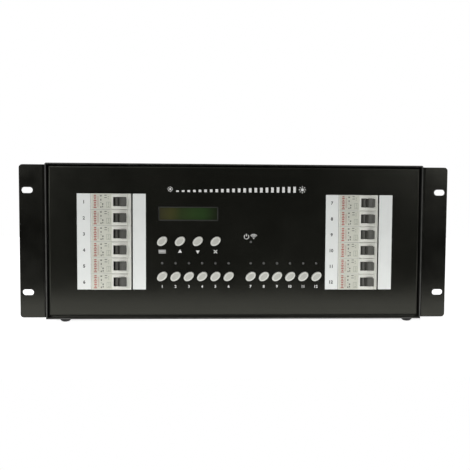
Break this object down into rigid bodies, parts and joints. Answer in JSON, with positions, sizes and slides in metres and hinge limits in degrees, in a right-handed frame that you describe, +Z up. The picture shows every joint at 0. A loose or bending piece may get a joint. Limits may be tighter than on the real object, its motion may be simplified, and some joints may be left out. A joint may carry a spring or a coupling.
{
  "type": "rack dimmer pack",
  "caption": "Black rack-mounted stage dimmer pack with two columns of circuit breakers, a text display, oval keys, indicator lamps, a rear fan and terminals.",
  "frame": {"origin": "middle of the footprint, on the surface that the feet stand on", "axes": "+Z up, +X to the right of someone who faces the front panel, +Y from the front panel towards the rear wall"},
  "size_m": [0.4826, 0.3808, 0.1815],
  "materials": {
    "case_paint": "satin black paint with a fine grain",
    "panel_paint": "smooth satin black paint",
    "zinc": "zinc plated",
    "breaker_moulding": "off-white matt moulding",
    "toggle_moulding": "dark grey satin moulding",
    "key_moulding": "light grey moulding, slightly glossy",
    "board": "green board with solder mask",
    "display": "dark green glass in a thin grey frame",
    "black_plastic": "matt black moulding",
    "foot_rubber": "matt black rubber",
    "heatsink": "plain extruded",
    "winding": "enamelled copper wire on powder rings"
  },
  "bodies": {
    "case": {"chassis_tray": "case_paint", "top_cover": "case_paint", "front_panel": "panel_paint", "rack_ear_left": "case_paint", "rack_ear_right": "case_paint", "foot_front_left": "foot_rubber", "foot_front_right": "foot_rubber", "foot_rear_left": "foot_rubber", "foot_rear_right": "foot_rubber", "din_rail_left": "zinc", "din_rail_right": "zinc", "breaker_1": "breaker_moulding", "breaker_2": "breaker_moulding", "breaker_3": "breaker_moulding", "breaker_4": "breaker_moulding", "breaker_5": "breaker_moulding", "breaker_6": "breaker_moulding", "breaker_7": "breaker_moulding", "breaker_8": "breaker_moulding", "breaker_9": "breaker_moulding", "breaker_10": "breaker_moulding", "breaker_11": "breaker_moulding", "breaker_12": "breaker_moulding", "control_board": "board", "display_module": "display", "fan_frame": "black_plastic", "output_terminals": "black_plastic", "mains_terminals": "black_plastic", "socket_board": "black_plastic", "triac_heatsink": "heatsink", "choke_board": "winding"},
    "toggle_1": {"toggle_1": "toggle_moulding"},
    "toggle_2": {"toggle_2": "toggle_moulding"},
    "toggle_3": {"toggle_3": "toggle_moulding"},
    "toggle_4": {"toggle_4": "toggle_moulding"},
    "toggle_5": {"toggle_5": "toggle_moulding"},
    "toggle_6": {"toggle_6": "toggle_moulding"},
    "toggle_7": {"toggle_7": "toggle_moulding"},
    "toggle_8": {"toggle_8": "toggle_moulding"},
    "toggle_9": {"toggle_9": "toggle_moulding"},
    "toggle_10": {"toggle_10": "toggle_moulding"},
    "toggle_11": {"toggle_11": "toggle_moulding"},
    "toggle_12": {"toggle_12": "toggle_moulding"},
    "channel_key_1": {"channel_key_1": "key_moulding"},
    "channel_key_2": {"channel_key_2": "key_moulding"},
    "channel_key_3": {"channel_key_3": "key_moulding"},
    "channel_key_4": {"channel_key_4": "key_moulding"},
    "channel_key_5": {"channel_key_5": "key_moulding"},
    "channel_key_6": {"channel_key_6": "key_moulding"},
    "channel_key_7": {"channel_key_7": "key_moulding"},
    "channel_key_8": {"channel_key_8": "key_moulding"},
    "channel_key_9": {"channel_key_9": "key_moulding"},
    "channel_key_10": {"channel_key_10": "key_moulding"},
    "channel_key_11": {"channel_key_11": "key_moulding"},
    "channel_key_12": {"channel_key_12": "key_moulding"},
    "menu_key_1": {"menu_key_1": "key_moulding"},
    "menu_key_2": {"menu_key_2": "key_moulding"},
    "menu_key_3": {"menu_key_3": "key_moulding"},
    "menu_key_4": {"menu_key_4": "key_moulding"},
    "fan_rotor": {"fan_rotor": "black_plastic"}
  },
  "joints": [
    {"name": "toggle_1_swing", "type": "hinge", "parent": "case", "child": "toggle_1", "pos_m": [-0.13015, -0.18036, 0.1388], "axis": [0, 0, -1], "range_deg": [0, 42]},
    {"name": "toggle_2_swing", "type": "hinge", "parent": "case", "child": "toggle_2", "pos_m": [-0.13015, -0.18036, 0.1208], "axis": [0, 0, -1], "range_deg": [0, 42]},
    {"name": "toggle_3_swing", "type": "hinge", "parent": "case", "child": "toggle_3", "pos_m": [-0.13015, -0.18036, 0.1028], "axis": [0, 0, -1], "range_deg": [0, 42]},
    {"name": "toggle_4_swing", "type": "hinge", "parent": "case", "child": "toggle_4", "pos_m": [-0.13015, -0.18036, 0.0848], "axis": [0, 0, -1], "range_deg": [0, 42]},
    {"name": "toggle_5_swing", "type": "hinge", "parent": "case", "child": "toggle_5", "pos_m": [-0.13015, -0.18036, 0.0668], "axis": [0, 0, -1], "range_deg": [0, 42]},
    {"name": "toggle_6_swing", "type": "hinge", "parent": "case", "child": "toggle_6", "pos_m": [-0.13015, -0.18036, 0.0488], "axis": [0, 0, -1], "range_deg": [0, 42]},
    {"name": "toggle_7_swing", "type": "hinge", "parent": "case", "child": "toggle_7", "pos_m": [0.14915, -0.18036, 0.1388], "axis": [0, 0, -1], "range_deg": [0, 42]},
    {"name": "toggle_8_swing", "type": "hinge", "parent": "case", "child": "toggle_8", "pos_m": [0.14915, -0.18036, 0.1208], "axis": [0, 0, -1], "range_deg": [0, 42]},
    {"name": "toggle_9_swing", "type": "hinge", "parent": "case", "child": "toggle_9", "pos_m": [0.14915, -0.18036, 0.1028], "axis": [0, 0, -1], "range_deg": [0, 42]},
    {"name": "toggle_10_swing", "type": "hinge", "parent": "case", "child": "toggle_10", "pos_m": [0.14915, -0.18036, 0.0848], "axis": [0, 0, -1], "range_deg": [0, 42]},
    {"name": "toggle_11_swing", "type": "hinge", "parent": "case", "child": "toggle_11", "pos_m": [0.14915, -0.18036, 0.0668], "axis": [0, 0, -1], "range_deg": [0, 42]},
    {"name": "toggle_12_swing", "type": "hinge", "parent": "case", "child": "toggle_12", "pos_m": [0.14915, -0.18036, 0.0488], "axis": [0, 0, -1], "range_deg": [0, 42]},
    {"name": "channel_key_1_press", "type": "slide", "parent": "case", "child": "channel_key_1", "axis": [0, 1, 0], "range_m": [0, 0.0005], "stiffness_N_per_m": 200},
    {"name": "channel_key_2_press", "type": "slide", "parent": "case", "child": "channel_key_2", "axis": [0, 1, 0], "range_m": [0, 0.0005], "stiffness_N_per_m": 200},
    {"name": "channel_key_3_press", "type": "slide", "parent": "case", "child": "channel_key_3", "axis": [0, 1, 0], "range_m": [0, 0.0005], "stiffness_N_per_m": 200},
    {"name": "channel_key_4_press", "type": "slide", "parent": "case", "child": "channel_key_4", "axis": [0, 1, 0], "range_m": [0, 0.0005], "stiffness_N_per_m": 200},
    {"name": "channel_key_5_press", "type": "slide", "parent": "case", "child": "channel_key_5", "axis": [0, 1, 0], "range_m": [0, 0.0005], "stiffness_N_per_m": 200},
    {"name": "channel_key_6_press", "type": "slide", "parent": "case", "child": "channel_key_6", "axis": [0, 1, 0], "range_m": [0, 0.0005], "stiffness_N_per_m": 200},
    {"name": "channel_key_7_press", "type": "slide", "parent": "case", "child": "channel_key_7", "axis": [0, 1, 0], "range_m": [0, 0.0005], "stiffness_N_per_m": 200},
    {"name": "channel_key_8_press", "type": "slide", "parent": "case", "child": "channel_key_8", "axis": [0, 1, 0], "range_m": [0, 0.0005], "stiffness_N_per_m": 200},
    {"name": "channel_key_9_press", "type": "slide", "parent": "case", "child": "channel_key_9", "axis": [0, 1, 0], "range_m": [0, 0.0005], "stiffness_N_per_m": 200},
    {"name": "channel_key_10_press", "type": "slide", "parent": "case", "child": "channel_key_10", "axis": [0, 1, 0], "range_m": [0, 0.0005], "stiffness_N_per_m": 200},
    {"name": "channel_key_11_press", "type": "slide", "parent": "case", "child": "channel_key_11", "axis": [0, 1, 0], "range_m": [0, 0.0005], "stiffness_N_per_m": 200},
    {"name": "channel_key_12_press", "type": "slide", "parent": "case", "child": "channel_key_12", "axis": [0, 1, 0], "range_m": [0, 0.0005], "stiffness_N_per_m": 200},
    {"name": "menu_key_1_press", "type": "slide", "parent": "case", "child": "menu_key_1", "axis": [0, 1, 0], "range_m": [0, 0.0005], "stiffness_N_per_m": 200},
    {"name": "menu_key_2_press", "type": "slide", "parent": "case", "child": "menu_key_2", "axis": [0, 1, 0], "range_m": [0, 0.0005], "stiffness_N_per_m": 200},
    {"name": "menu_key_3_press", "type": "slide", "parent": "case", "child": "menu_key_3", "axis": [0, 1, 0], "range_m": [0, 0.0005], "stiffness_N_per_m": 200},
    {"name": "menu_key_4_press", "type": "slide", "parent": "case", "child": "menu_key_4", "axis": [0, 1, 0], "range_m": [0, 0.0005], "stiffness_N_per_m": 200},
    {"name": "fan_spin", "type": "hinge", "parent": "case", "child": "fan_rotor", "pos_m": [-0.15, 0.18014, 0.0963], "axis": [0, 1, 0], "continuous": true}
  ]
}
